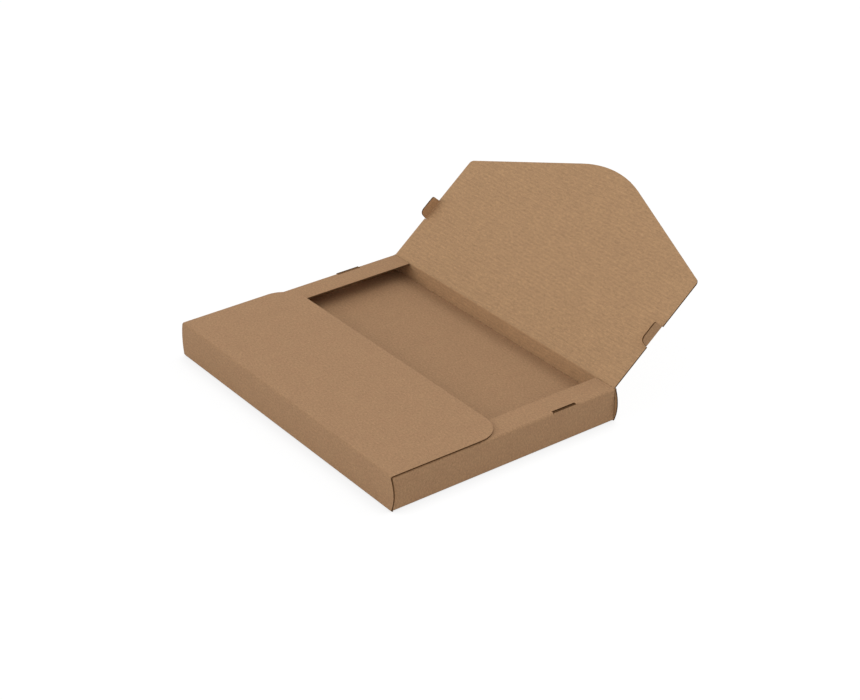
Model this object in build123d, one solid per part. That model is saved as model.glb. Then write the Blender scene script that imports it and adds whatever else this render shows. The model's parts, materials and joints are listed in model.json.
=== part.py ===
from build123d import *

import os
from math import asin, cos, degrees, radians, sin, tan

# Envelope box for papers: one sheet of fine fluted card, folded into a shallow tray. The front wall
# runs on into a panel that lies on the side flanges, and the back wall runs on into a pointed lid.
# A second sheet stands in the tray as a raised floor.
# Millimetres. X runs along the box, Y from front to back and Z up, from the middle of the underside.

# The card
board = 1.6  # thickness over both liners
fold_inner = 0.4  # radius inside a crease

# The folded tray, outside
length = 305.0  # over the side walls
depth = 227.0  # over the front and back walls
flange_level = 30.3  # upper face of the side flanges
bow = 3.3  # how far the ends of the front and back walls curve out past the side walls
corner_gap = 0.4  # between a side wall's end and the wall it stands against

# The front panel, folded back over the flanges
panel_reach = 111.0  # from the front wall's outer face to the free edge
panel_gap = 0.3  # glue line between a flange and the panel
panel_corner = 23.5  # radius of the two free corners

# The side flanges
flange_width = 23.5  # from the side wall's outer face to the free edge

# The raised floor
floor_level = 15.5  # its upper face
floor_gap = 0.5  # between its edges and the walls

# The lid
lid_inset = 1.35  # how far the lid's sides lie inside the side walls' outer faces
lid_shoulder = 112.0  # from the hinge line to where the sides end
lid_apex = 172.0  # from the hinge line to where the slanted edges would meet
shoulder_corner = 5.0  # radius at each shoulder
apex_corner = 100.0  # radius of the rounded tip
lid_lift = 0.15  # clearance between the closed lid and the flanges
lid_tilt = 39.0  # slope of the open lid above level, in degrees
hinge_gap = 0.3  # clearance along the card on each side of the hinge line

# The lock tabs, folded square from the lid's sides, and the slots they enter
tab_length = 20.8  # along the lid, at the crease
tab_height = 9.5  # from the lid's inner face
tab_middle = 53.8  # from the hinge line
tab_inset = 0.4  # from the lid's side edge to the tab's outer face
tab_taper = 1.4  # how much the free edge is shorter at the end away from the hinge
tab_near_corner = 5.0  # radius of the free corner nearer the hinge
tab_far_corner = 2.5  # radius of the other free corner
tab_relief = 0.4  # cut that frees each end of a tab's crease
slot_side_play = 0.3  # between a slot's inner edge and the tab
slot_near_play = 2.4  # between the tab and the slot's end nearer the hinge
slot_far_play = 0.5  # between the tab and the slot's other end

# Places worked out from the sizes above
fold_outer = board + fold_inner
root_reach = 3 * fold_outer  # how far a folded strip is drawn into the flat card that carries it
half_length = length / 2
half_depth = depth / 2
panel_level = flange_level + panel_gap + board
free_edge = -half_depth + panel_reach
side_span = half_depth - board - corner_gap
hinge_y = half_depth - board
hinge_z = flange_level + lid_lift
lid_half = half_length - lid_inset
tab_face = lid_half - tab_inset

# The lid falls back until its tip meets the table, and the two sides of the crease are cut back so
# that they only just meet there.
tip_reach = lid_apex - apex_corner * ((lid_half**2 + (lid_apex - lid_shoulder) ** 2) ** 0.5 / lid_half - 1)
fall_back = asin((hinge_z - board) / tip_reach)
crease_cut = tan((radians(90) + fall_back) / 2)


def near(shape, point):
    """The corner of a flat shape that lies at a point."""
    return shape.vertices().sort_by_distance(Vector(*point))[0]


def folded_section(points, outer, inner):
    """The section of a folded strip: its corner points, with the outer and inner folds rounded."""
    section = Sketch() + make_face(Polyline(*points, close=True))
    section = fillet([near(section, points[i]) for i in outer], fold_outer)
    return fillet([near(section, points[i]) for i in inner], fold_inner)


def block(x, y, z):
    """A plain block between two values along each axis."""
    size = [high - low for low, high in (x, y, z)]
    middle = [(high + low) / 2 for low, high in (x, y, z)]
    return Pos(*middle) * Box(*size)


def wall_end(y, low, high):
    """The bowed end of the front or back wall: a circle's segment of card at the right-hand side."""
    arc = ThreePointArc((half_length, low), (half_length + bow, (low + high) / 2), (half_length, high))
    chord = Line((half_length, high), (half_length, low))
    return Pos(0, y + board, 0) * extrude(Plane.XZ * make_face(arc + chord), board)


def both_sides(shape):
    """A shape at the right-hand side, and its mirror image at the left."""
    return shape + mirror(shape, Plane.YZ)


def long_strip():
    """Front panel, front wall, base and back wall, folded from one strip along the box."""
    lip = hinge_z - hinge_gap
    points = [
        (-half_depth, 0),
        (-half_depth, panel_level),
        (free_edge, panel_level),
        (free_edge, panel_level - board),
        (-half_depth + board, panel_level - board),
        (-half_depth + board, board),
        (half_depth - board, board),
        (half_depth - board, lip),
        (half_depth, lip - board * crease_cut),
        (half_depth, 0),
    ]
    section = folded_section(points, outer=(0, 1, 9), inner=(4, 5, 6))
    strip = extrude(Plane.YZ * section, half_length, both=True)
    upright = strip.edges().filter_by(Axis.Z)
    strip = fillet(upright.filter_by_position(Axis.Y, free_edge - board, free_edge + board), panel_corner)
    front_end = wall_end(-half_depth, fold_outer, panel_level - fold_outer)
    back_end = wall_end(half_depth - board, fold_outer, lip - board * crease_cut)
    return strip + both_sides(front_end) + both_sides(back_end)


def side_strip():
    """The right-hand side wall and its flange, with the slot for the lid's tab."""
    tail = half_length - root_reach
    points = [
        (tail, 0),
        (half_length, 0),
        (half_length, flange_level),
        (half_length - flange_width, flange_level),
        (half_length - flange_width, flange_level - board),
        (half_length - board, flange_level - board),
        (half_length - board, board),
        (tail, board),
    ]
    section = folded_section(points, outer=(1, 2), inner=(5, 6))
    strip = extrude(Plane.XZ * section, side_span, both=True)
    slot_y = (
        hinge_y - tab_middle - tab_length / 2 - slot_far_play,
        hinge_y - tab_middle + tab_length / 2 + slot_near_play,
    )
    slot_x = (tab_face - board - slot_side_play, half_length - board)
    raw_edge = block((half_length - board, half_length), slot_y, (flange_level - fold_outer, flange_level))
    slot = block(slot_x, slot_y, (flange_level - board - fold_outer, flange_level + board))
    return strip + raw_edge - slot


def make_tray():
    """The tray, with the base's ends left to the side walls' folds."""
    base_end = block((half_length - fold_outer, half_length), (-side_span, side_span), (0, board))
    return long_strip() - both_sides(base_end) + both_sides(side_strip())


def make_raised_floor():
    """A sheet that stands on the base, with both its ends folded down as legs."""
    end = half_length - board - floor_gap
    points = [
        (-end, board),
        (-end, floor_level),
        (end, floor_level),
        (end, board),
        (end - board, board),
        (end - board, floor_level - board),
        (-end + board, floor_level - board),
        (-end + board, board),
    ]
    section = folded_section(points, outer=(1, 2), inner=(5, 6))
    return extrude(Plane.XZ * section, half_depth - board - floor_gap, both=True)


def lock_tab():
    """The right-hand lock tab and its crease, on the lid's own plane with the inner face up."""
    tail = tab_face - root_reach
    points = [
        (tail, -board),
        (tab_face, -board),
        (tab_face, tab_height),
        (tab_face - board, tab_height),
        (tab_face - board, 0),
        (tail, 0),
    ]
    section = folded_section(points, outer=(1,), inner=(4,))
    near_end = tab_middle - tab_length / 2
    far_end = tab_middle + tab_length / 2
    strip = Pos(0, tab_middle, 0) * extrude(Plane.XZ * section, tab_length / 2, both=True)
    corners = [(near_end, -board), (near_end, tab_height), (far_end - tab_taper, tab_height), (far_end, 0)]
    outline = Sketch() + make_face(Polyline(*corners, (far_end, -board), close=True))
    outline = fillet(near(outline, corners[1]), tab_near_corner)
    outline = fillet(near(outline, corners[2]), tab_far_corner)
    return strip & extrude(Plane.YZ * outline, length)


def make_lid():
    """The lid with its two lock tabs, flat on its own plane with the inner face up."""
    corners = [
        (-lid_half, 0),
        (lid_half, 0),
        (lid_half, lid_shoulder),
        (0, lid_apex),
        (-lid_half, lid_shoulder),
    ]
    outline = Sketch() + make_face(Polyline(*corners, close=True))
    outline = fillet([near(outline, corners[2]), near(outline, corners[4])], shoulder_corner)
    outline = fillet(near(outline, corners[3]), apex_corner)
    plate = extrude(outline, -board)
    root = [
        (hinge_gap, 0),
        (hinge_gap + board * crease_cut, -board),
        (lid_apex, -board),
        (lid_apex, 0),
    ]
    plate &= extrude(Plane.YZ * make_face(Polyline(*root, close=True)), half_length, both=True)
    notch_y = (tab_middle - tab_length / 2 - tab_relief, tab_middle + tab_length / 2 + tab_relief)
    notch = block((tab_face - fold_outer, half_length), notch_y, (-fold_outer, board))
    return plate - both_sides(notch) + both_sides(lock_tab())


tilt = radians(lid_tilt)
lid_plane = Plane(origin=(0, hinge_y, hinge_z), x_dir=(1, 0, 0), z_dir=(0, -sin(tilt), cos(tilt)))

tray = make_tray()
raised_floor = make_raised_floor()
lid = lid_plane * make_lid()

# The lid closes until it lies on the front panel's free edge.
rise = panel_level + lid_lift - hinge_z
closed_slope = asin(rise / (hinge_y - free_edge))

os.makedirs("parts", exist_ok=True)
export_step(tray, "parts/tray.step")
export_step(raised_floor, "parts/raised_floor.step")
export_step(lid, "parts/lid.step")
print("hinge line at y", round(hinge_y, 3), "z", round(hinge_z, 3))
print("lid falls back to", round(-lid_tilt - degrees(fall_back), 2), "degrees")
print("lid closes at", round(180 - lid_tilt - degrees(closed_slope), 2), "degrees")
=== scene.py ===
"""Envelope box of brown fluted card: a shallow tray with its pointed lid standing open.

Each piece of card is built as the real board is: a liner on each face and a fluted paper between them,
whose waves show wherever the card is cut across the flutes. All flutes run along the box, along X.
Sizes are in millimetres in the box's own frame, and meshes are scaled to metres at the end.
"""

import json
import math
from collections import namedtuple

import bpy
import numpy as np
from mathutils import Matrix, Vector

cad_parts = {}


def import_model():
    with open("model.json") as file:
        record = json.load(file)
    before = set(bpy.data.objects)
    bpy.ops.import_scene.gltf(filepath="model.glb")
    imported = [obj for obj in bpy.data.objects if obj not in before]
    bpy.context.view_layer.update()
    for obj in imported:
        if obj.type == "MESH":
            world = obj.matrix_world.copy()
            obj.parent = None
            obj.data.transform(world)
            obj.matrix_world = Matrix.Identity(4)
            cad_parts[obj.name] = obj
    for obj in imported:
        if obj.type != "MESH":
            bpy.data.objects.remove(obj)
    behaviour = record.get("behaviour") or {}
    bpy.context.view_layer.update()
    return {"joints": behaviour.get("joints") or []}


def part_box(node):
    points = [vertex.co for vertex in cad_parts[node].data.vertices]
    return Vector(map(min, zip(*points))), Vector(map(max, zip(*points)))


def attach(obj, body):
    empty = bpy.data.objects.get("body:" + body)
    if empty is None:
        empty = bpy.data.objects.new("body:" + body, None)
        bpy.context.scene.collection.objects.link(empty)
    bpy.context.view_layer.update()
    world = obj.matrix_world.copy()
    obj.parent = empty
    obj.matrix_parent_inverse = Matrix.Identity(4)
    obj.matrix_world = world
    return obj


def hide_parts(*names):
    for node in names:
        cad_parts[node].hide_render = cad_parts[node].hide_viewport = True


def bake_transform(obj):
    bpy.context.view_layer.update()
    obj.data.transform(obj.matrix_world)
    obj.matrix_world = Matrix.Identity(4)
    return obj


MM = 0.001

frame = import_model()


def node_top(name):
    """A node's highest corner in millimetres."""
    return np.array(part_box(name)[1]) / MM


tray_high = node_top("tray")
hinge = frame["joints"][0]
hinge_y, hinge_z = hinge["pos_m"][1] / MM, hinge["pos_m"][2] / MM

# The card
half_depth = tray_high[1]
board = half_depth - hinge_y  # thickness over both liners
fold_inner = 0.4  # radius inside a crease
fold_outer = board + fold_inner
fold_run = fold_outer * math.pi / 2  # length of card round a square fold
flute_pitch = 3.57  # from wave to wave, as the lines on the lid show
liner = 0.26  # thickness of each facing paper
medium = 0.24  # thickness of the fluted paper
least_hollow = 0.01  # share of the thickness that stays open where the fluted paper meets a liner
liner_sag_inner = 0.045  # how deep the inner liner dips between the flutes' tips
liner_sag_outer = 0.008  # the same on the smoother outer liner
crushed_outer = 0.08  # share of the thickness that the cutting rule presses in at the outer face
crushed_inner = 0.14  # the same at the inner face

# The tray
lid_half = node_top("lid")[0]
lid_inset = 1.35  # how far the lid's sides lie inside the side walls' outer faces
half_length = lid_half + lid_inset
bow = tray_high[0] - half_length  # how far the front wall's right end curves out past the side wall
back_bow = 0.75 * bow  # the back wall's ends stand out a little less than the front wall's
left_share = 0.45  # how much of the bow the front wall's left end has
bow_drop = 2.2  # how far below the hinge line the back wall's ends come back to the side walls
bow_top = hinge_z - bow_drop
corner_gap = 0.4  # between a side wall's end and the wall it stands against
side_span = hinge_y - corner_gap
panel_level = tray_high[2]
panel_gap = 0.3  # glue line between a flange and the panel
flange_level = panel_level - board - panel_gap
flange_width = 23.5
panel_reach = 111.0  # from the front wall's outer face to the free edge
panel_corner = 23.5  # radius of the two free corners
free_edge = -half_depth + panel_reach

# The raised floor
floor_half_length, floor_half_depth, floor_level = node_top("raised_floor")
floor_spread = 0.3  # how much nearer the front and back walls its raw edges reach than its solid's
floor_blank = 600.0  # where its own sheet starts on the blanks' shared coordinates

# The lid
lid_tilt = math.radians(39.0)
lid_shoulder = 112.0  # from the hinge line to where the sides end
lid_apex = 172.0  # from the hinge line to where the slanted edges would meet
lid_slant = math.atan2(lid_apex - lid_shoulder, lid_half)
shoulder_corner = 5.0  # radius at each shoulder
shoulder_tangent = shoulder_corner * math.tan((math.pi / 2 - lid_slant) / 2)
apex_corner = 100.0  # radius of the rounded tip
tip_centre = lid_apex - apex_corner / math.cos(lid_slant)
lid_tip = tip_centre + apex_corner
tip_trim = 0.03  # how much of the very tip is left off, so that the cut has a width there
hinge_gap = 0.3  # from the hinge line to where the lid's own width starts
crease_reach = 3.2  # length of card on each side of the hinge line that bends as the lid turns
hinge_run = side_span + fold_run + hinge_z - fold_outer  # place of the hinge line on the blank

# The lock tabs and their slots
tab_length = 20.8  # along the lid, at the crease
tab_height = 9.5  # from the lid's inner face
tab_middle = 53.8  # from the hinge line
tab_near, tab_far = tab_middle - tab_length / 2, tab_middle + tab_length / 2
tab_inset = 0.4  # from the lid's side edge to the tab's outer face
tab_taper = 1.4  # how much the free edge is shorter at the end away from the hinge
tab_near_corner = 5.0  # radius of the free corner nearer the hinge
tab_far_corner = 2.5  # radius of the other free corner
tab_relief = 0.4  # cut that frees each end of a tab's crease
tab_face = lid_half - tab_inset
tab_bend = tab_face - fold_outer  # where a tab's fold starts
tab_least = 0.3  # how far above its fold a tab reaches at the least
tab_back_least = 0.1  # the same for the backs of its open flutes
slot_side_play = 0.02  # between a slot's inner edge and the tab: the slot is a slit as wide as the card
slot_near_play = 2.4  # between the tab and the slot's end nearer the hinge
slot_far_play = 0.5  # between the tab and the slot's other end
slit = 0.08  # width of the cut at each end of a slot

# Drawing steps
stations_per_flute = 8  # rows of points from wave to wave
station_step = flute_pitch / stations_per_flute
fold_steps = 8  # flat strips round a square fold
corner_steps = 14  # points round a free corner of the panel
tip_steps = 26  # points along one half of the rounded tip
tip_margin = 0.4  # the lid's even rows end this far before the tip
shoulder_steps = 12  # points round each shoulder
tab_near_steps, tab_far_steps = 8, 12  # points round a tab's two free corners
crease_steps = 7  # points along each part of the hinge crease
edge_reach = 2.4  # how far the open flutes are drawn in from a cut edge
fold_support = 0.6  # a line of points this far from each fold keeps the flat faces flat
nearest_stops = 0.004  # stops closer together than this count as one
edge_clearance = 0.1  # no even stop is nearer than this to the edge of a cut
sharp_turn = math.radians(28)  # faces that meet at a wider angle show an edge


# Materials

paper_ior = 1.46


def srgb(text):
    """A hex colour as the linear values that a shader works in."""
    values = [int(text[i:i + 2], 16) / 255 for i in (1, 3, 5)]
    linear = [v / 12.92 if v <= 0.04045 else ((v + 0.055) / 1.055) ** 2.4 for v in values]
    return (*linear, 1.0)


def add_node(tree, kind, settings=None, **links):
    """Adds one shader node. Settings are its properties, and links its sockets' values or sources. A
    socket goes by its name, or by i and its number."""
    made = tree.nodes.new(kind)
    for name, value in (settings or {}).items():
        setattr(made, name, value)
    for name, value in links.items():
        socket = made.inputs[int(name[1:])] if name[0] == "i" and name[1:].isdigit() else made.inputs[name]
        if isinstance(value, bpy.types.NodeSocket):
            tree.links.new(value, socket)
        else:
            socket.default_value = value
    return made


def emptied(holder, output_kind):
    """The node tree of a material or world with nothing in it but its output."""
    holder.use_nodes = True
    tree = holder.node_tree
    tree.nodes.clear()
    return tree, add_node(tree, output_kind)


def new_paper(name):
    """An empty material with its output and the card's own flat coordinates, in millimetres."""
    material = bpy.data.materials.new(name)
    tree, output = emptied(material, "ShaderNodeOutputMaterial")
    blank = add_node(tree, "ShaderNodeAttribute", {"attribute_name": "blank"}).outputs["Vector"]
    return material, tree, output, blank


def grain_units(tree, blank, along, across):
    """The flat coordinates, counted in grains of so many millimetres along the flutes and across them."""
    return add_node(tree, "ShaderNodeVectorMath", {"operation": "DIVIDE"},
                    i0=blank, i1=(along, across, 1.0)).outputs[0]


def paper_grain(tree, blank, along, across, detail, roughness):
    """A soft random pattern, with grains of so many millimetres along the flutes and across them. Its
    values stay near one half."""
    return add_node(tree, "ShaderNodeTexNoise", {"noise_dimensions": "3D"}, Scale=1.0, Detail=detail,
                    Roughness=roughness, Vector=grain_units(tree, blank, along, across)).outputs[0]


def shade_between(tree, grain, low, high):
    """A random pattern as a factor that makes a colour darker or lighter, from low to high."""
    return add_node(tree, "ShaderNodeMapRange", None, i0=grain, i1=0.3, i2=0.7, i3=low, i4=high).outputs[0]


def multiplied(tree, *factors):
    """The product of several values."""
    product = factors[0]
    for factor in factors[1:]:
        product = add_node(tree, "ShaderNodeMath", {"operation": "MULTIPLY"},
                           i0=product, i1=factor).outputs[0]
    return product


def matt_paper(tree, output, colour, shade, roughness, bump):
    """Uncoated paper of a colour, darker and lighter by a factor, on the material's output."""
    shaded = add_node(tree, "ShaderNodeVectorMath", {"operation": "SCALE"}, i0=colour, Scale=shade).outputs[0]
    shader = add_node(tree, "ShaderNodeBsdfPrincipled", None,
                      Roughness=roughness, IOR=paper_ior, Normal=bump, **{"Base Color": shaded})
    tree.links.new(shader.outputs[0], output.inputs[0])


def kraft_liner(name, colour, warm, glue_print_and_painted_trough_shade, streak, mottling):
    """Unbleached kraftliner, made on a paper machine from long softwood fibre and left uncoated: a dry,
    matt brown face, faintly cloudy, with fine pale and dark fibres and few darker specks. Faint lines run
    along the flutes: on the outer liner they are darker over the glued flutes' tips, and on the inner
    liner the darker lines are painted shade in the washboard dips between the tips."""
    material, tree, output, blank = new_paper(name)

    # Clouds of 16 to 22 mm come from uneven pulp, and blotches of about 2 mm from clumps of fibre.
    cloud = shade_between(tree, paper_grain(tree, blank, 16.0, 22.0, 3.0, 0.55), 0.98, 1.02)
    blotch = paper_grain(tree, blank, 2.4, 1.8, 2.0, 0.5)
    mottle = shade_between(tree, blotch, 1 - mottling, 1 + mottling)

    # Fibres are 3 mm long and 0.03 mm wide. They are drawn 0.7 mm wide, or they wouldn't show.
    fibre = paper_grain(tree, blank, streak, 0.7, 2.0, 0.6)
    cross_fibre = paper_grain(tree, blank, 0.9, 1.3, 2.0, 0.6)

    # Lines along the flutes, one to each flute. On the inner liner the darker ones are painted shade in the
    # washboard dips between the flutes' tips; on the outer liner they lie over the glued tips.
    across = add_node(tree, "ShaderNodeSeparateXYZ", None, i0=blank).outputs[1]
    phase = multiplied(tree, across, 2 * math.pi / flute_pitch)
    wave = add_node(tree, "ShaderNodeMath", {"operation": "COSINE"}, i0=phase).outputs[0]
    lines = add_node(tree, "ShaderNodeMapRange", None,
                     i0=wave, i1=-1.0, i2=1.0, i3=1 - glue_print_and_painted_trough_shade, i4=1 + glue_print_and_painted_trough_shade).outputs[0]

    # Specks of bark are 0.3 mm across and about 8 mm apart.
    speck = add_node(tree, "ShaderNodeTexVoronoi", {"feature": "F1"}, Scale=1.0, Randomness=1.0,
                     Vector=grain_units(tree, blank, 8.0, 8.0)).outputs["Distance"]
    bark = add_node(tree, "ShaderNodeMapRange", {"interpolation_type": "SMOOTHSTEP"},
                    i0=speck, i1=0.02, i2=0.045, i3=0.82, i4=1.0).outputs[0]

    shade = multiplied(tree, cloud, mottle, lines, shade_between(tree, fibre, 0.88, 1.12),
                       shade_between(tree, cross_fibre, 0.91, 1.09), bark)
    warmth = shade_between(tree, paper_grain(tree, blank, 9.0, 12.0, 2.0, 0.5), 0.0, 1.0)
    base = add_node(tree, "ShaderNodeMix", {"data_type": "RGBA"},
                    i0=warmth, i6=srgb(colour), i7=srgb(warm)).outputs[2]
    relief = add_node(tree, "ShaderNodeMath", {"operation": "ADD"}, i0=fibre, i1=cross_fibre).outputs[0]
    bump = add_node(tree, "ShaderNodeBump", None, Strength=0.5, Distance=0.00006, Height=relief).outputs[0]
    matt_paper(tree, output, base, shade, 0.88, bump)
    return material


def torn_fibre_with_painted_shade(name, colour, grain):
    """Kraft paper cut through its thickness by a steel rule: rough and matt, with loose fibre ends. It is
    darker than its face, partly as the rough edge's own colour and partly as painted shade of the open
    flutes."""
    material, tree, output, blank = new_paper(name)
    fibre = paper_grain(tree, blank, grain, grain, 3.0, 0.6)
    shade = shade_between(tree, fibre, 0.88, 1.12)
    bump = add_node(tree, "ShaderNodeBump", None, Strength=0.8, Distance=0.0001, Height=fibre).outputs[0]
    matt_paper(tree, output, srgb(colour)[:3], shade, 0.95, bump)
    return material


CARD_MATERIALS = [
    kraft_liner("kraft_liner_outside", "#a98460", "#a7815e", glue_print_and_painted_trough_shade=0.01, streak=1.9, mottling=0.10),
    kraft_liner("kraft_liner_inside", "#b69069", "#b48e68", glue_print_and_painted_trough_shade=0.03, streak=3.6, mottling=0.05),
    # The dark browns of the cut edges and of the fluting paper are partly their own colour and partly painted
    # shade on the cut edges and inside the open flutes.
    torn_fibre_with_painted_shade("cut_kraft_edge_with_painted_shade", "#76522c", 0.3),
    torn_fibre_with_painted_shade("fluting_medium_with_painted_shade", "#5f4328", 0.5),
]
OUTSIDE, INSIDE, CUT, FLUTE = range(4)


# Card

def level_shares(across):
    """Shares of the thickness at the faces of both liners and of the fluted paper between them, at a
    place across the flutes."""
    room = (board - 2 * liner - medium) / 2
    wave = 0.5 + room / board * np.cos(2 * math.pi * across / flute_pitch)
    half = 0.5 * medium / board
    low = liner / board
    high = 1 - low
    below = np.maximum(wave - half, low) + least_hollow
    above = np.minimum(wave + half, high) - least_hollow
    return np.array([0.0, low, below, above, high, 1.0])


OUTER_FACE, INNER_FACE = 0, 5  # the first and last of those levels
PAPERS = ((0, 1), (2, 3), (4, 5))  # the levels of the two liners and the fluted paper
HOLLOWS = ((1, 2), (3, 4))


class Card:
    """A piece of card as rows of points across the flutes and columns along them. Every point has a place
    on the outer face, one on the inner face and its place on the flat blank. Cells that are absent are cut
    away, and each cut across the flutes shows the liners' edges and the open flutes between them."""

    def __init__(self, rows, columns):
        self.outer = np.zeros((rows, columns, 3))
        self.inner = np.zeros((rows, columns, 3))
        self.blank = np.zeros((rows, columns, 2))
        self.present = np.ones((rows - 1, columns - 1), bool)
        self.crushed = np.zeros((rows, columns), bool)

    def has(self, i, j):
        rows, columns = self.present.shape
        return 0 <= i < rows and 0 <= j < columns and self.present[i, j]

    def crush_ends(self):
        """The cutting rule presses the card together where it cuts across the flutes."""
        for i, row in enumerate(self.present):
            kept = np.flatnonzero(row)
            self.crushed[i:i + 2, kept[0]] = True
            self.crushed[i:i + 2, kept[-1] + 1] = True
        inward = self.inner - self.outer
        self.outer += inward * crushed_outer * self.crushed[:, :, None]
        self.inner -= inward * crushed_inner * self.crushed[:, :, None]

    def sag_faces(self):
        """The liners dip between the flutes' tips, which leaves washboard lines along the flutes."""
        ripple = 0.5 + 0.5 * np.cos(2 * math.pi * self.blank[:, :, 1] / flute_pitch)
        inward = (self.inner - self.outer) / board
        self.outer += inward * (liner_sag_outer * ripple)[:, :, None]
        self.inner -= inward * (liner_sag_inner * (1 - ripple))[:, :, None]

    def build(self):
        """Works out the points, faces, face materials and blank coordinates of the closed piece."""
        # Rows and columns may run either way round, so the middle of the first row says which it is.
        j = self.present.shape[1] // 2
        along, across = self.outer[0, j + 1] - self.outer[0, j], self.outer[1, j] - self.outer[0, j]
        self.turned = np.dot(np.cross(along, across), self.outer[0, j] - self.inner[0, j]) < 0
        self.points, self.flat, self.index = [], [], {}
        self.faces, self.kinds = [], []
        self.edge_points = set()
        cells = [(int(i), int(j)) for i, j in np.argwhere(self.present)]
        for i, j in cells:
            self.mark_edges(i, j)
        for i, j in cells:
            self.add_cell(i, j)

    def mark_edges(self, i, j):
        """Notes the points that need a place at every level, because open flutes end there."""
        if not (self.has(i, j - 1) and self.has(i, j + 1)):
            self.edge_points.update((row, column) for row in (i, i + 1) for column in (j, j + 1))

    def point(self, i, j, level):
        """The number of a point at one level of the card, which is made when it is first asked for."""
        key = (i, j, level)
        if key not in self.index:
            share = level_shares(self.blank[i, j, 1])[level]
            self.index[key] = len(self.points)
            self.points.append(self.outer[i, j] * (1 - share) + self.inner[i, j] * share)
            self.flat.append((*self.blank[i, j], share * board))
        return self.index[key]

    def face(self, corners, kind, flip=False):
        ordered = reversed(corners) if flip != self.turned else corners
        self.faces.append([self.point(*corner) for corner in ordered])
        self.kinds.append(kind)

    def add_cell(self, i, j):
        """The two liners' faces of one cell, and its edges where the card is cut beside it."""
        square = [(i, j), (i, j + 1), (i + 1, j + 1), (i + 1, j)]
        self.face([(*corner, OUTER_FACE) for corner in square], OUTSIDE)
        self.face([(*corner, INNER_FACE) for corner in square], INSIDE, flip=True)
        for side in (-1, 1):
            if not self.has(i, j + side):
                self.add_open_flutes(i, j, side)
        for side in (-1, 1):
            if not self.has(i + side, j):
                self.add_end(i, j, side)

    def add_open_flutes(self, i, j, side):
        """A cut across the flutes: the edges of three papers, and the hollows between them."""
        cut = j if side < 0 else j + 1
        back = j + 1 if side < 0 else j
        flip = side < 0
        for low, high in PAPERS:
            self.face([(i, cut, low), (i, cut, high), (i + 1, cut, high), (i + 1, cut, low)], CUT, flip)
        for low, high in HOLLOWS:
            self.face([(i, back, low), (i, back, high), (i + 1, back, high), (i + 1, back, low)], FLUTE, flip)
            self.face([(i, cut, low), (i + 1, cut, low), (i + 1, back, low), (i, back, low)], FLUTE, not flip)
            self.face([(i, cut, high), (i + 1, cut, high), (i + 1, back, high), (i, back, high)], FLUTE, flip)
            # Where the next cell's flutes aren't cut open here, the hollow stops against it.
            for way, row in ((-1, i), (1, i + 1)):
                if self.has(i + way, j) and self.has(i + way, j + side):
                    corners = [(row, cut, low), (row, back, low), (row, back, high), (row, cut, high)]
                    self.face(corners, FLUTE, (way > 0) == flip)

    def add_end(self, i, j, side):
        """A cut along the flutes. Beside a cut across them it shows three papers, and elsewhere one face."""
        row = i if side < 0 else i + 1
        flip = side > 0
        if not (self.has(i, j - 1) and self.has(i, j + 1)):
            for low, high in PAPERS:
                corners = [(row, j, low), (row, j, high), (row, j + 1, high), (row, j + 1, low)]
                self.face(corners, CUT, flip)
            return
        left, right = [
            [(row, column, level) for level in (range(6) if (row, column) in self.edge_points else (0, 5))]
            for column in (j, j + 1)
        ]
        self.face(left + right[::-1], CUT, flip)


def card_object(name, cards):
    """One mesh object from several pieces of card."""
    points, faces, kinds, flat = [], [], [], []
    for card in cards:
        card.crush_ends()
        card.sag_faces()
        card.build()
        faces += [[k + len(points) for k in face] for face in card.faces]
        points += card.points
        kinds += card.kinds
        flat += card.flat
    mesh = bpy.data.meshes.new(name)
    mesh.from_pydata([tuple(p * MM) for p in points], [], faces)
    for material in CARD_MATERIALS:
        mesh.materials.append(material)
    mesh.polygons.foreach_set("material_index", kinds)
    attribute = mesh.attributes.new("blank", "FLOAT_VECTOR", "POINT")
    attribute.data.foreach_set("vector", np.array(flat, np.float32).ravel())
    mesh.validate()
    mesh.shade_smooth()
    mesh.set_sharp_from_angle(angle=sharp_turn)
    piece = bpy.data.objects.new(name, mesh)
    bpy.context.scene.collection.objects.link(piece)
    return piece


# Stops: places along a line where the card gets rows or columns of points

def merged(*lists):
    """Places in rising order from several lists, without those that lie almost on another."""
    kept = []
    for value in sorted(np.concatenate([np.atleast_1d(one) for one in lists])):
        if not kept or value - kept[-1] > nearest_stops:
            kept.append(value)
    return np.array(kept)


def even(start, end):
    """Evenly spaced places, a few to each flute."""
    return np.linspace(start, end, max(2, int(round(abs(end - start) / station_step)) + 1))


def clear_of(stops, edges):
    """The stops that don't lie almost on the edge of a cut."""
    return stops[[min(abs(stop - edge) for edge in edges) > edge_clearance for stop in stops]]


def round_stops(end, radius):
    """Places before an end where its rounded corner needs points."""
    return end - radius * (1 - np.sin(np.linspace(0, math.pi / 2, corner_steps)))


# Folded lines: a section through folded card. Each stretch is flat, from a first point to a second one, or
# an arc round a first point that starts in a second direction. It has its direction into the card, and the
# length run at its beginning and at its end.

Stretch = namedtuple("Stretch", "kind first second inward begin end")


def folded_line(corners):
    """The stretches of a folded line through some corners. The line is the card's outer face, and at each
    inner corner it goes round an arc, turning to its left."""
    line = []
    run = 0.0
    corners = [np.array(c, float) for c in corners]
    ways = [(b - a) / np.linalg.norm(b - a) for a, b in zip(corners, corners[1:])]
    start = corners[0]
    for k, way in enumerate(ways):
        last = k == len(ways) - 1
        end = corners[k + 1] if last else corners[k + 1] - way * fold_outer
        inward = np.array([-way[1], way[0]])
        length = np.linalg.norm(end - start)
        # Where one fold follows straight on another, or starts the line, there is nothing flat between.
        if length > 1e-6:
            line.append(Stretch("flat", start, end, inward, run, run + length))
        run += length
        if not last:
            turn_to = ways[k + 1]
            centre = end + inward * fold_outer
            line.append(Stretch("arc", centre, -inward, inward, run, run + fold_run))
            run += fold_run
            start = centre + np.array([turn_to[1], -turn_to[0]]) * fold_outer
    return line


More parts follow.
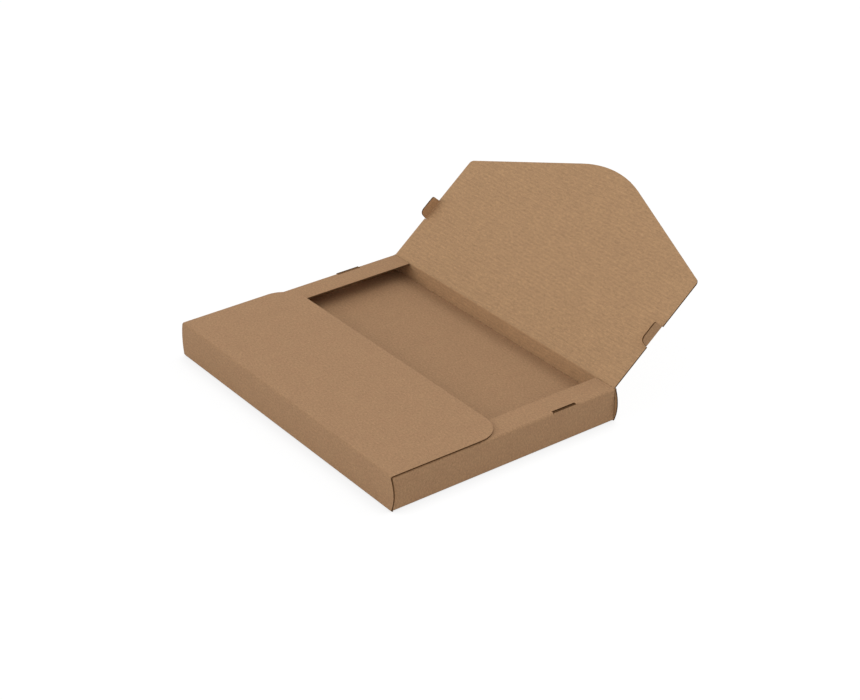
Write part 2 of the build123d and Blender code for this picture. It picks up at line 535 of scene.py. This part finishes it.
def point_on(line, run):
    """The place on a folded line's outer face after so much length, and the direction into the card."""
    for stretch in line:
        if run <= stretch.end + 1e-9:
            break
    first, second = stretch.first, stretch.second
    if stretch.kind == "flat":
        share = (run - stretch.begin) / (stretch.end - stretch.begin)
        return first + (second - first) * share, stretch.inward
    turn = (run - stretch.begin) / fold_outer
    out = np.array([second[0] * math.cos(turn) - second[1] * math.sin(turn),
                    second[0] * math.sin(turn) + second[1] * math.cos(turn)])
    return first + out * fold_outer, -out


def line_stops(line):
    """Lengths along a folded line where points are wanted: closely in its folds, and evenly elsewhere."""
    stops = []
    for stretch in line:
        begin, end = stretch.begin, stretch.end
        if stretch.kind == "arc":
            stops.append(np.linspace(begin, end, fold_steps + 1))
        else:
            count = max(1, int(round((end - begin) / station_step)))
            stops.append(np.linspace(begin, end, count + 1))
            if end - begin > 4 * fold_support:
                stops.append([begin + fold_support, end - fold_support])
    return merged(*stops)


# The tray

def arc_share(value, low, high):
    """How far a bowed edge stands out, from 0 at both ends of its height to 1 at the middle."""
    middle, half = (low + high) / 2, (high - low) / 2
    radius = (half ** 2 + bow ** 2) / (2 * bow)
    height = np.clip(value - middle, -half, half)
    return (math.sqrt(radius ** 2 - height ** 2) - (radius - bow)) / bow


def rounded_end(distance, radius):
    """How much a half-width loses at a distance from the end, where a corner of a radius is rounded off."""
    left = np.clip(radius - distance, 0, radius)
    return radius - math.sqrt(radius ** 2 - left ** 2)


WIDE_SHARES = np.array([-0.8, -0.4, 0.0, 0.4, 0.8])  # columns of a strip, as shares of its half-length
WIDE_COLUMNS = len(WIDE_SHARES) + 4
FLAT_SHARES = np.array([0.35, 0.7])  # the same for the base and the raised floor


def across_columns(half_width):
    """Places along the flutes for a piece that runs from one side of the box to the other."""
    inner = half_width - edge_reach
    return np.array([-half_width, -inner, *(WIDE_SHARES * inner), inner, half_width])


def long_strip(line, width, extra_stops=()):
    """Card that runs from side to side of the box and follows a folded line from front to back."""
    stops = merged(line_stops(line), np.array(extra_stops))
    stops = stops[stops <= line[-1].end + 1e-9]
    card = Card(len(stops), WIDE_COLUMNS)
    for i, run in enumerate(stops):
        place, inward = point_on(line, run)
        columns = across_columns(width(place, run))
        card.outer[i, :, 0] = columns
        card.inner[i, :, 0] = columns
        card.outer[i, :, 1:] = place
        card.inner[i, :, 1:] = place + inward * board
        card.blank[i, :, 0] = columns
        card.blank[i, :, 1] = side_span + run
    return card


def front_and_panel():
    """The front wall and the panel folded back from its top."""
    # A folded line turns to its left, so this one is followed as its mirror image in Y.
    mirror = folded_line([
        (side_span, 0.0),
        (half_depth, 0.0),
        (half_depth, panel_level),
        (-free_edge, panel_level),
    ])
    total = mirror[-1].end

    def width(place, run):
        if run > total - panel_corner:
            return half_length - rounded_end(total - run, panel_corner)
        if fold_outer < place[1] < panel_level - fold_outer:
            return half_length + bow * arc_share(place[1], fold_outer, panel_level - fold_outer)
        return half_length

    card = long_strip(mirror, width, round_stops(total, panel_corner))
    for places in (card.outer, card.inner, card.blank):
        past_left = np.minimum(places[:, :, 0] + half_length, 0.0)
        places[:, :, 0] -= (1 - left_share) * past_left
        places[:, :, 1] *= -1
    return card


def back_wall():
    """The back wall, up to where the card starts to bend at the hinge line."""
    line = folded_line([(side_span, 0.0), (half_depth, 0.0), (half_depth, hinge_z - crease_reach)])

    def width(place, run):
        if place[1] > fold_outer:
            return half_length + back_bow * arc_share(place[1], fold_outer, bow_top)
        return half_length

    return long_strip(line, width)


def set_both_sides(card, i, k, place, inward, y, blank):
    """Sets the points of a row that are k columns from its middle, from a place on the right-hand half of a
    section along X."""
    middle = card.outer.shape[1] // 2
    for side in (-1, 1):
        j = middle + side * k
        card.outer[i, j] = (side * place[0], y, place[1])
        card.inner[i, j] = (side * (place[0] + inward[0] * board), y, place[1] + inward[1] * board)
        card.blank[i, j] = (side * blank[0], blank[1])


def base_and_sides():
    """The base, the side walls and their flanges, with the slots for the lid's tabs."""
    line = folded_line([
        (0.0, 0.0),
        (half_length, 0.0),
        (half_length, flange_level),
        (half_length - flange_width, flange_level),
    ])
    base, lower_fold, wall, upper_fold, flange = line
    slot_inner = tab_face - board - slot_side_play
    slot_run = flange.begin + (half_length - fold_outer - slot_inner)
    half_stops = merged(
        [*(base.end * FLAT_SHARES), base.end - fold_support],
        np.linspace(lower_fold.begin, lower_fold.end, fold_steps + 1),
        [wall.begin + fold_support, (wall.begin + wall.end) / 2, wall.end - fold_support],
        np.linspace(upper_fold.begin, upper_fold.end, fold_steps + 1),
        [slot_run, slot_run + edge_reach, (slot_run + flange.end) / 2, flange.end - edge_reach, flange.end],
    )
    fold_first = int(np.argmin(abs(half_stops - upper_fold.begin)))
    slot_last = int(np.argmin(abs(half_stops - slot_run)))

    slot_low = hinge_y - tab_far - slot_far_play
    slot_high = hinge_y - tab_near + slot_near_play
    edges = [slot_low - slit, slot_low, slot_high, slot_high + slit]
    stops = merged(clear_of(even(-side_span, side_span), edges), edges)

    card = Card(len(stops), 2 * len(half_stops) + 1)
    for i, y in enumerate(stops):
        in_slot = slot_low - slit / 2 < y < slot_high + slit / 2
        for k, run in enumerate([0.0, *half_stops]):
            place, inward = point_on(line, run)
            # Along the slot the wall's raw edge stands up square and doesn't go round the fold.
            if in_slot and k == fold_first + 2:
                place, inward = np.array([half_length, flange_level]), np.array([-1.0, 0.0])
            set_both_sides(card, i, k, place, inward, y, (run, y))

    low_row, high_row = [int(np.argmin(abs(stops - edge))) for edge in (slot_low, slot_high)]
    middle = len(half_stops)
    for side in (-1, 1):
        cells = [middle + k if side > 0 else middle - k - 1 for k in range(fold_first + 1, slot_last + 1)]
        card.present[low_row:high_row, cells[1:]] = False
        card.present[low_row - 1, cells] = False
        card.present[high_row, cells] = False
    return card


def raised_floor_card():
    """The second sheet, which stands in the tray on its folded-down ends."""
    line = folded_line([(floor_half_length, board), (floor_half_length, floor_level), (0.0, floor_level)])
    leg, fold, flat = line
    half_stops = merged(
        [0.0, edge_reach, leg.end - fold_support],
        np.linspace(fold.begin, fold.end, fold_steps + 1),
        [flat.begin + fold_support, *(flat.begin + (flat.end - flat.begin) * FLAT_SHARES)],
    )
    stops = even(-floor_half_depth - floor_spread, floor_half_depth + floor_spread)
    card = Card(len(stops), 2 * len(half_stops) + 1)
    for i, y in enumerate(stops):
        for k, run in enumerate([flat.end, *half_stops[::-1]]):
            place, inward = point_on(line, run)
            set_both_sides(card, i, k, place, inward, y, (flat.end - run, floor_blank + y))
    return card


# The lid

def lid_place(x, along, depth):
    """A point of the lid: along the hinge, up the lid from the hinge line, and into the card from its
    inner face."""
    return np.array([
        x,
        hinge_y + along * math.cos(lid_tilt) + depth * math.sin(lid_tilt),
        hinge_z + along * math.sin(lid_tilt) - depth * math.cos(lid_tilt),
    ])


def lid_half_width(along):
    """Half the lid's width at a distance from the hinge line."""
    corner_begin = lid_shoulder - shoulder_tangent
    corner_end = lid_shoulder + shoulder_tangent * math.sin(lid_slant)
    tip_begin = tip_centre + apex_corner * math.cos(lid_slant)
    if along < corner_begin:
        return lid_half
    if along < corner_end:
        return lid_half - shoulder_corner + math.sqrt(shoulder_corner ** 2 - (along - corner_begin) ** 2)
    if along < tip_begin:
        return (lid_apex - along) / math.tan(lid_slant)
    return math.sqrt(max(apex_corner ** 2 - (along - tip_centre) ** 2, 0.0))


def tab_profile(along):
    """The lock tab's height above the lid's inner face, at a distance from the hinge line."""
    slope = math.atan2(tab_height, tab_taper)
    corner_begin = tab_far - tab_taper - tab_far_corner * math.tan(slope / 2)
    corner_end = corner_begin + tab_far_corner * math.sin(slope)
    if along < corner_begin:
        height = tab_height - rounded_end(along - tab_near, tab_near_corner)
    elif along < corner_end:
        height = tab_height - tab_far_corner + math.sqrt(tab_far_corner ** 2 - (along - corner_begin) ** 2)
    else:
        height = tab_height * (tab_far - along) / tab_taper
    return max(height, fold_inner + tab_least)


LID_SHARES = np.array([0.0, 0.4, 0.8])
LID_FLAT_COLUMNS = len(LID_SHARES) + 2
TAB_TURNS = np.linspace(0, math.pi / 2, fold_steps + 1)[1:]


def lid_stops(edges):
    """Distances from the hinge line where the lid gets rows of points, among them a list of cuts' edges."""
    trimmed = math.acos(1 - tip_trim / apex_corner)
    shoulder_turns = np.linspace(0, math.pi / 2 - lid_slant, shoulder_steps)
    return merged(
        clear_of(even(crease_reach, lid_tip - tip_margin), edges),
        edges,
        tip_centre + apex_corner * np.cos(np.linspace(lid_slant, trimmed, tip_steps)),
        lid_shoulder - shoulder_tangent + shoulder_corner * np.sin(shoulder_turns),
        tab_near + tab_near_corner * (1 - np.cos(np.linspace(0, math.pi / 2, tab_near_steps))),
        np.linspace(tab_far - tab_taper - tab_far_corner, tab_far, tab_far_steps),
    )


def lid_row(along):
    """Half a row of the lid at a distance from the hinge line: from the middle to the side edge, or round
    the fold and up a lock tab. Each point has its place on the blank, the outer face and the inner face."""
    width = lid_half_width(along)
    inner_width = width - min(lid_half - tab_bend, 0.5 * width)
    flat = [*(LID_SHARES * inner_width), inner_width - fold_support, inner_width]
    row = [(x, lid_place(x, along, board), lid_place(x, along, 0.0)) for x in flat]
    if not tab_near - 1e-6 <= along <= tab_far + 1e-6:
        side_edge = (width, lid_place(width, along, board), lid_place(width, along, 0.0))
        return row + [side_edge] * (len(TAB_TURNS) + 2)
    for turn in TAB_TURNS:
        across, rise = math.sin(turn), math.cos(turn)
        outer = lid_place(tab_bend + fold_outer * across, along, board - fold_outer + fold_outer * rise)
        inner = lid_place(tab_bend + fold_inner * across, along, board - fold_outer + fold_inner * rise)
        row.append((tab_bend + fold_outer * turn, outer, inner))
    height = tab_profile(along)
    for top in (max(height - edge_reach, fold_inner + tab_back_least), height):
        outer, inner = lid_place(tab_face, along, -top), lid_place(tab_face - board, along, -top)
        row.append((tab_bend + fold_run + top, outer, inner))
    return row


def lid_card():
    """The lid and its two lock tabs."""
    stops = lid_stops([tab_near - tab_relief, tab_near, tab_far, tab_far + tab_relief])
    middle = LID_FLAT_COLUMNS + len(TAB_TURNS) + 1
    card = Card(len(stops), 2 * middle + 1)
    for i, along in enumerate(stops):
        for k, (x, outer, inner) in enumerate(lid_row(along)):
            for side in (-1, 1):
                j = middle + side * k
                card.outer[i, j] = outer * (side, 1, 1)
                card.inner[i, j] = inner * (side, 1, 1)
                card.blank[i, j] = (side * x, hinge_run + along)

    # Past the lid's side edge there is card only in the tabs, and a short cut frees each end of a tab.
    near_row, far_row = [int(np.argmin(abs(stops - edge))) for edge in (tab_near, tab_far)]
    for side in (-1, 1):
        relief = middle + LID_FLAT_COLUMNS - 1 if side > 0 else middle - LID_FLAT_COLUMNS
        card.present[[near_row - 1, far_row], relief] = False
        for k in range(LID_FLAT_COLUMNS, middle):
            j = middle + k if side > 0 else middle - k - 1
            card.present[:near_row, j] = False
            card.present[far_row:, j] = False
    return card


def crease_card():
    """The card at the hinge line, between the back wall and the lid, where the real card bends as the lid
    turns. It is drawn at the lid's open angle.
    """
    bend = math.pi / 2 - lid_tilt
    tangent = fold_outer * math.tan(bend / 2)
    centre = np.array([hinge_y + fold_outer, hinge_z - tangent])
    stations = []
    for s in np.linspace(-crease_reach, -tangent, crease_steps):
        stations.append(((hinge_y, hinge_z + s), (1.0, 0.0), s))
    for turn in np.linspace(0, bend, crease_steps)[1:-1]:
        out = np.array([math.cos(turn), -math.sin(turn)])
        stations.append((centre - out * fold_outer, out, -tangent + 2 * tangent * turn / bend))
    for s in np.linspace(tangent, crease_reach, crease_steps):
        stations.append((lid_place(0, s, 0.0)[1:], (math.sin(lid_tilt), -math.cos(lid_tilt)), s))
    card = Card(len(stations), WIDE_COLUMNS)
    for i, (place, outward, s) in enumerate(stations):
        if s > -hinge_gap:
            width = lid_half
        else:
            width = half_length + back_bow * arc_share(hinge_z + s, fold_outer, bow_top)
        columns = across_columns(width)
        card.outer[i, :, 0] = columns
        card.inner[i, :, 0] = columns
        card.inner[i, :, 1:] = place
        card.outer[i, :, 1:] = np.array(place) + np.array(outward) * board
        card.blank[i, :, 0] = columns
        card.blank[i, :, 1] = hinge_run + s
    return card


# The box

tray_card = card_object("tray_card", [base_and_sides(), front_and_panel(), back_wall()])
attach(tray_card, "tray")
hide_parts("tray")

raised_floor = card_object("raised_floor_card", [raised_floor_card()])
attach(raised_floor, "tray")
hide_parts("raised_floor")

lid_piece = card_object("lid_card", [lid_card()])
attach(lid_piece, "lid")
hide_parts("lid")

crease = card_object("hinge_crease", [crease_card()])
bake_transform(crease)


# The studio, in metres

WHITE = (1, 1, 1, 1)
floor_half = 4.0
floor_drop = 0.0001  # keeps the floor just clear of the box's underside
contact_reach = 0.025  # how far the painted contact shadow spreads from the box


def seen_directly(tree):
    """One where a surface is seen, directly or in gloss or glass, and zero where light falls on it."""
    path = add_node(tree, "ShaderNodeLightPath")
    seen = path.outputs["Is Camera Ray"]
    for other in ("Is Glossy Ray", "Is Transmission Ray"):
        seen = add_node(tree, "ShaderNodeMath", {"operation": "MAXIMUM"},
                        i0=seen, i1=path.outputs[other]).outputs[0]
    return seen


def floor():
    """A wide, plain white floor. It shows as white, with a faint shadow close around the box: its glow is
    painted darker where the box hides the floor's surroundings, and a little of the lamps' own shade is
    added.
    """
    mesh = bpy.data.meshes.new("studio_floor")
    corners = [(-1, -1), (1, -1), (1, 1), (-1, 1)]
    mesh.from_pydata([(x * floor_half, y * floor_half, -floor_drop) for x, y in corners], [], [(0, 1, 2, 3)])
    piece = bpy.data.objects.new("studio_floor", mesh)
    bpy.context.scene.collection.objects.link(piece)
    material = bpy.data.materials.new("white_paper_floor")
    tree, output = emptied(material, "ShaderNodeOutputMaterial")
    pale = add_node(tree, "ShaderNodeBsdfDiffuse", None, Color=(0.72, 0.72, 0.72, 1)).outputs[0]
    # Painted contact shadow: the glow that the camera sees is turned down near the box by the occlusion
    # there.
    contact = add_node(tree, "ShaderNodeAmbientOcclusion", {"samples": 16},
                       Distance=contact_reach).outputs["AO"]
    glow = add_node(tree, "ShaderNodeMapRange", None,
                    i0=contact, i1=0.35, i2=0.8, i3=0.8, i4=0.94).outputs[0]
    white = add_node(tree, "ShaderNodeEmission", None, Color=WHITE, Strength=glow).outputs[0]
    shaded = add_node(tree, "ShaderNodeBsdfDiffuse", None, Color=(0.09, 0.09, 0.09, 1)).outputs[0]
    sight = add_node(tree, "ShaderNodeAddShader", None, i0=white, i1=shaded).outputs[0]
    mix = add_node(tree, "ShaderNodeMixShader", None,
                   i0=seen_directly(tree), i1=pale, i2=sight).outputs[0]
    tree.links.new(mix, output.inputs[0])
    mesh.materials.append(material)


def world(level):
    """Even white light from all round. The camera sees it as plain white."""
    scene_world = bpy.data.worlds.new("studio")
    tree, output = emptied(scene_world, "ShaderNodeOutputWorld")
    strength = add_node(tree, "ShaderNodeMapRange", None,
                        i0=seen_directly(tree), i1=0.0, i2=1.0, i3=level, i4=1.0).outputs[0]
    background = add_node(tree, "ShaderNodeBackground", None, Color=WHITE, Strength=strength)
    tree.links.new(background.outputs[0], output.inputs[0])
    bpy.context.scene.world = scene_world


def soft_sun(name, strength, softness, azimuth, elevation):
    """A large soft lamp far away. Azimuth 0 stands in front of the box and 90 at its right."""
    lamp = bpy.data.lights.new(name, "SUN")
    lamp.energy = strength
    lamp.angle = math.radians(softness)
    piece = bpy.data.objects.new(name, lamp)
    piece.rotation_euler = (math.radians(90 - elevation), 0, math.radians(azimuth))
    bpy.context.scene.collection.objects.link(piece)


def camera(place, downward, azimuth, lens):
    """The photograph's view, worked out from the straight edges of the box."""
    data = bpy.data.cameras.new("camera")
    data.sensor_width = 36.0
    data.lens = lens
    data.clip_start, data.clip_end = 0.05, 50.0
    piece = bpy.data.objects.new("camera", data)
    piece.location = place
    piece.rotation_euler = (math.radians(90 - downward), 0, math.radians(azimuth))
    bpy.context.scene.collection.objects.link(piece)
    bpy.context.scene.camera = piece


floor()
world(level=0.64)
soft_sun("front_fill", strength=0.79, softness=50, azimuth=-25, elevation=15)
soft_sun("rear_key", strength=1.0, softness=50, azimuth=165, elevation=40)
camera(place=(1.2141, -0.8731, 0.8739), downward=29.28, azimuth=53.11, lens=85.98)
bpy.context.scene.view_settings.view_transform = "Standard"
